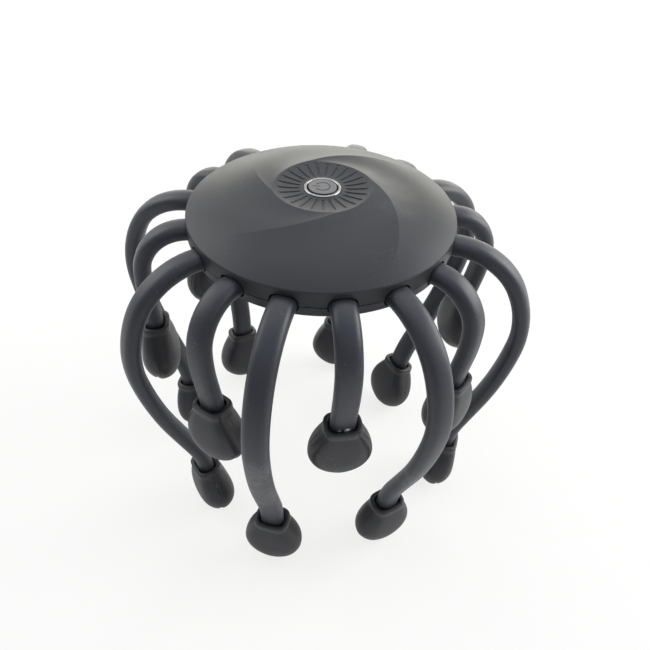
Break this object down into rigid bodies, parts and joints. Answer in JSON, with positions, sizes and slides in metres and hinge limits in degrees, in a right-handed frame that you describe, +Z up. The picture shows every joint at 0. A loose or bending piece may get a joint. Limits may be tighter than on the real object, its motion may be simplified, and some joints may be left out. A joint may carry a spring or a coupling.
{
  "type": "electric head massager",
  "caption": "Battery-powered scalp massager: a round swirl-topped hub with a power button and a ring of springy bent legs, long and short in turn, with padded feet.",
  "frame": {"origin": "on the floor under the hub's axis, where the long feet stand", "axes": "+Z up along the hub's axis, -Y towards the front of the picture"},
  "size_m": [0.1856, 0.186, 0.1645],
  "materials": {
    "cover_plastic": "fine matte",
    "button_plastic": "satin",
    "bezel_metal": "bright",
    "leg_rubber": "soft touch",
    "foot_rubber": "soft touch",
    "core_steel": "drawn",
    "board_laminate": "solder mask",
    "switch_plastic": "moulded",
    "battery_wrap": "foil pouch",
    "socket_metal": "plated",
    "lead_rubber": "insulated",
    "screw_steel": "plain"
  },
  "bodies": {
    "hub": {"top_cover": "cover_plastic", "bottom_cover": "cover_plastic", "button_bezel": "bezel_metal", "circuit_board": "board_laminate", "switch_body": "switch_plastic", "battery_pack": "battery_wrap", "charge_socket": "socket_metal", "motor_leads": "lead_rubber", "cover_screws": "screw_steel", "board_screws": "screw_steel"},
    "button": {"power_button": "button_plastic", "switch_plunger": "switch_plastic"},
    "leg_01": {"leg_01_sleeve": "leg_rubber", "leg_01_foot": "foot_rubber", "leg_01_core": "core_steel"},
    "leg_02": {"leg_02_sleeve": "leg_rubber", "leg_02_foot": "foot_rubber", "leg_02_core": "core_steel"},
    "leg_03": {"leg_03_sleeve": "leg_rubber", "leg_03_foot": "foot_rubber", "leg_03_core": "core_steel"},
    "leg_04": {"leg_04_sleeve": "leg_rubber", "leg_04_foot": "foot_rubber", "leg_04_core": "core_steel"},
    "leg_05": {"leg_05_sleeve": "leg_rubber", "leg_05_foot": "foot_rubber", "leg_05_core": "core_steel"},
    "leg_06": {"leg_06_sleeve": "leg_rubber", "leg_06_foot": "foot_rubber", "leg_06_core": "core_steel"},
    "leg_07": {"leg_07_sleeve": "leg_rubber", "leg_07_foot": "foot_rubber", "leg_07_core": "core_steel"},
    "leg_08": {"leg_08_sleeve": "leg_rubber", "leg_08_foot": "foot_rubber", "leg_08_core": "core_steel"},
    "leg_09": {"leg_09_sleeve": "leg_rubber", "leg_09_foot": "foot_rubber", "leg_09_core": "core_steel"},
    "leg_10": {"leg_10_sleeve": "leg_rubber", "leg_10_foot": "foot_rubber", "leg_10_core": "core_steel"},
    "leg_11": {"leg_11_sleeve": "leg_rubber", "leg_11_foot": "foot_rubber", "leg_11_core": "core_steel"},
    "leg_12": {"leg_12_sleeve": "leg_rubber", "leg_12_foot": "foot_rubber", "leg_12_core": "core_steel"},
    "leg_13": {"leg_13_sleeve": "leg_rubber", "leg_13_foot": "foot_rubber", "leg_13_core": "core_steel"},
    "leg_14": {"leg_14_sleeve": "leg_rubber", "leg_14_foot": "foot_rubber", "leg_14_core": "core_steel"},
    "leg_15": {"leg_15_sleeve": "leg_rubber", "leg_15_foot": "foot_rubber", "leg_15_core": "core_steel"},
    "leg_16": {"leg_16_sleeve": "leg_rubber", "leg_16_foot": "foot_rubber", "leg_16_core": "core_steel"}
  },
  "joints": [
    {"name": "leg_01_flex", "type": "hinge", "parent": "hub", "child": "leg_01", "pos_m": [0.01085, -0.05453, 0.14652], "axis": [-0.9808, -0.1951, -0.0017], "range_deg": [-4, 18], "stiffness_Nm_per_rad": 0.8},
    {"name": "leg_02_flex", "type": "hinge", "parent": "hub", "child": "leg_02", "pos_m": [0.03089, -0.04623, 0.14652], "axis": [-0.8314, -0.5556, -0.007], "range_deg": [-4, 18], "stiffness_Nm_per_rad": 0.8},
    {"name": "leg_03_flex", "type": "hinge", "parent": "hub", "child": "leg_03", "pos_m": [0.04623, -0.03089, 0.14652], "axis": [-0.5556, -0.8314, 0.007], "range_deg": [-4, 18], "stiffness_Nm_per_rad": 0.8},
    {"name": "leg_04_flex", "type": "hinge", "parent": "hub", "child": "leg_04", "pos_m": [0.05453, -0.01085, 0.14652], "axis": [-0.1951, -0.9807, 0.0122], "range_deg": [-4, 18], "stiffness_Nm_per_rad": 0.8},
    {"name": "leg_05_flex", "type": "hinge", "parent": "hub", "child": "leg_05", "pos_m": [0.05453, 0.01085, 0.14652], "axis": [0.1947, -0.979, -0.061], "range_deg": [-4, 18], "stiffness_Nm_per_rad": 0.8},
    {"name": "leg_06_flex", "type": "hinge", "parent": "hub", "child": "leg_06", "pos_m": [0.04623, 0.03089, 0.14652], "axis": [0.5545, -0.8299, -0.061], "range_deg": [-4, 18], "stiffness_Nm_per_rad": 0.8},
    {"name": "leg_07_flex", "type": "hinge", "parent": "hub", "child": "leg_07", "pos_m": [0.03089, 0.04623, 0.14652], "axis": [0.8315, -0.5556, 0], "range_deg": [-4, 18], "stiffness_Nm_per_rad": 0.8},
    {"name": "leg_08_flex", "type": "hinge", "parent": "hub", "child": "leg_08", "pos_m": [0.01085, 0.05453, 0.14652], "axis": [0.9801, -0.195, -0.0366], "range_deg": [-4, 18], "stiffness_Nm_per_rad": 0.8},
    {"name": "leg_09_flex", "type": "hinge", "parent": "hub", "child": "leg_09", "pos_m": [-0.01085, 0.05453, 0.14652], "axis": [0.9808, 0.1951, 0], "range_deg": [-4, 18], "stiffness_Nm_per_rad": 0.8},
    {"name": "leg_10_flex", "type": "hinge", "parent": "hub", "child": "leg_10", "pos_m": [-0.03089, 0.04623, 0.14652], "axis": [0.83, 0.5546, -0.0593], "range_deg": [-4, 18], "stiffness_Nm_per_rad": 0.8},
    {"name": "leg_11_flex", "type": "hinge", "parent": "hub", "child": "leg_11", "pos_m": [-0.04623, 0.03089, 0.14652], "axis": [0.5553, 0.8311, 0.0297], "range_deg": [-4, 18], "stiffness_Nm_per_rad": 0.8},
    {"name": "leg_12_flex", "type": "hinge", "parent": "hub", "child": "leg_12", "pos_m": [-0.05453, 0.01085, 0.14652], "axis": [0.195, 0.9806, 0.0209], "range_deg": [-4, 18], "stiffness_Nm_per_rad": 0.8},
    {"name": "leg_13_flex", "type": "hinge", "parent": "hub", "child": "leg_13", "pos_m": [-0.05453, -0.01085, 0.14652], "axis": [-0.195, 0.9803, -0.0314], "range_deg": [-4, 18], "stiffness_Nm_per_rad": 0.8},
    {"name": "leg_14_flex", "type": "hinge", "parent": "hub", "child": "leg_14", "pos_m": [-0.04623, -0.03089, 0.14652], "axis": [-0.5551, 0.8307, -0.0419], "range_deg": [-4, 18], "stiffness_Nm_per_rad": 0.8},
    {"name": "leg_15_flex", "type": "hinge", "parent": "hub", "child": "leg_15", "pos_m": [-0.03089, -0.04623, 0.14652], "axis": [-0.83, 0.5546, -0.0593], "range_deg": [-4, 18], "stiffness_Nm_per_rad": 0.8},
    {"name": "leg_16_flex", "type": "hinge", "parent": "hub", "child": "leg_16", "pos_m": [-0.01085, -0.05453, 0.14652], "axis": [-0.9807, 0.1951, 0.0122], "range_deg": [-4, 18], "stiffness_Nm_per_rad": 0.8},
    {"name": "button_press", "type": "slide", "parent": "hub", "child": "button", "axis": [0, 0, -1], "range_m": [0, 0.0006], "stiffness_N_per_m": 1500}
  ]
}
